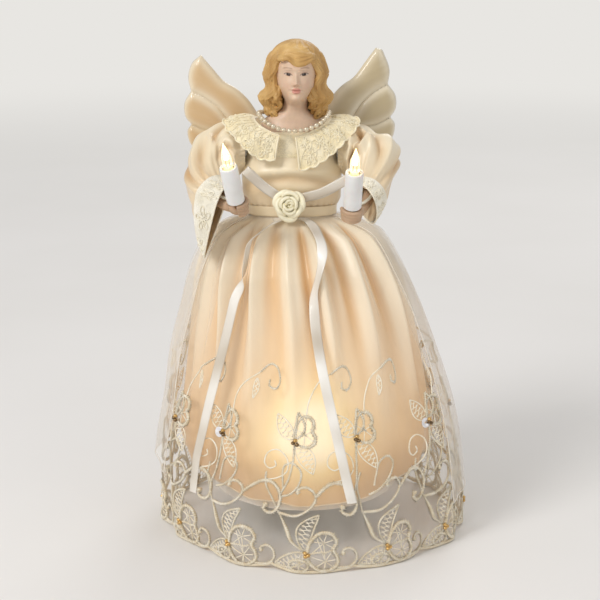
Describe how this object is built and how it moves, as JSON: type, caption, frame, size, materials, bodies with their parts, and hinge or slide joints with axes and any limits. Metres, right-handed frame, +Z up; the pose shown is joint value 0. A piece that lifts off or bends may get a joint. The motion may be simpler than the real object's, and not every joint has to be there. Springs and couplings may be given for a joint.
{
  "type": "angel tree topper",
  "caption": "Lighted angel tree topper: doll figure with wings on a hollow cone, satin and embroidered organza skirts, posable arms holding electric candles.",
  "frame": {"origin": "centre of the bounding box at its bottom, which is the middle of the overskirt's hem on the surface that the topper stands on", "axes": "+X the figure's own left (the viewer's right), +Y to the back, +Z up"},
  "size_m": [0.1985, 0.1736, 0.305],
  "materials": {
    "frosted_plastic": "frosted white moulded plastic",
    "grommet_rubber": "soft dark rubber",
    "socket_plastic": "white moulded lamp holder",
    "lamp_glass": "clear glass, warm filament light",
    "lead_plastic": "cream insulated wire",
    "satin": "champagne satin",
    "sleeve_fabric": "ivory satin",
    "lace": "cream guipure lace",
    "organza": "sheer champagne organza",
    "ribbon": "ivory satin ribbon",
    "rosette_ribbon": "cream ribbon",
    "skin_resin": "painted bisque, soft sheen",
    "hair_resin": "painted golden blonde",
    "wing_resin": "pearly ivory paint",
    "screw_steel": "zinc plated",
    "candle_plastic": "white candle tube, satin gloss",
    "pearl_plastic": "pearl lustre"
  },
  "bodies": {
    "figure": {"tree_cone": "frosted_plastic", "cord_grommet": "grommet_rubber", "skirt_socket_1": "socket_plastic", "skirt_socket_2": "socket_plastic", "skirt_socket_3": "socket_plastic", "skirt_socket_4": "socket_plastic", "skirt_socket_5": "socket_plastic", "skirt_socket_6": "socket_plastic", "skirt_socket_7": "socket_plastic", "skirt_socket_8": "socket_plastic", "skirt_lamp_1": "lamp_glass", "skirt_lamp_2": "lamp_glass", "skirt_lamp_3": "lamp_glass", "skirt_lamp_4": "lamp_glass", "skirt_lamp_5": "lamp_glass", "skirt_lamp_6": "lamp_glass", "skirt_lamp_7": "lamp_glass", "skirt_lamp_8": "lamp_glass", "harness_ring": "lead_plastic", "lead_riser_left": "lead_plastic", "lead_riser_right": "lead_plastic", "torso_former": "frosted_plastic", "bodice": "satin", "head_casting": "skin_resin", "hair": "hair_resin", "wing_left": "wing_resin", "wing_right": "wing_resin", "wing_screw_left": "screw_steel", "wing_screw_right": "screw_steel", "collar_left": "lace", "collar_right": "lace", "pearl_strand": "pearl_plastic", "satin_underskirt": "satin", "embroidered_overskirt": "organza", "organza_overlay": "organza", "waist_ribbon": "ribbon", "rosette": "rosette_ribbon", "bow_loop_left": "ribbon", "bow_loop_right": "ribbon", "ribbon_tail_left": "ribbon", "ribbon_tail_right": "ribbon"},
    "left_arm": {"arm_left": "frosted_plastic", "hand_left": "skin_resin", "arm_lead_left": "lead_plastic", "candle_sleeve_left": "candle_plastic", "candle_socket_left": "socket_plastic", "sleeve_left": "sleeve_fabric", "sleeve_lace_left": "lace"},
    "right_arm": {"arm_right": "frosted_plastic", "hand_right": "skin_resin", "arm_lead_right": "lead_plastic", "candle_sleeve_right": "candle_plastic", "candle_socket_right": "socket_plastic", "sleeve_right": "sleeve_fabric", "sleeve_lace_right": "lace"},
    "left_lamp": {"candle_lamp_left": "lamp_glass"},
    "right_lamp": {"candle_lamp_right": "lamp_glass"}
  },
  "joints": [
    {"name": "arm_raise_left", "type": "hinge", "parent": "figure", "child": "left_arm", "pos_m": [0.016, 0, 0.24], "axis": [-1, 0, 0], "range_deg": [0, 25]},
    {"name": "arm_raise_right", "type": "hinge", "parent": "figure", "child": "right_arm", "pos_m": [-0.04, 0, 0.24], "axis": [-1, 0, 0], "range_deg": [0, 25]},
    {"name": "lamp_pull_left", "type": "slide", "parent": "left_arm", "child": "left_lamp", "axis": [0.03, -0.3901, 0.9203], "range_m": [0, 0.014]},
    {"name": "lamp_pull_right", "type": "slide", "parent": "right_arm", "child": "right_lamp", "axis": [-0.1602, -0.3804, 0.9109], "range_m": [0, 0.014]}
  ]
}
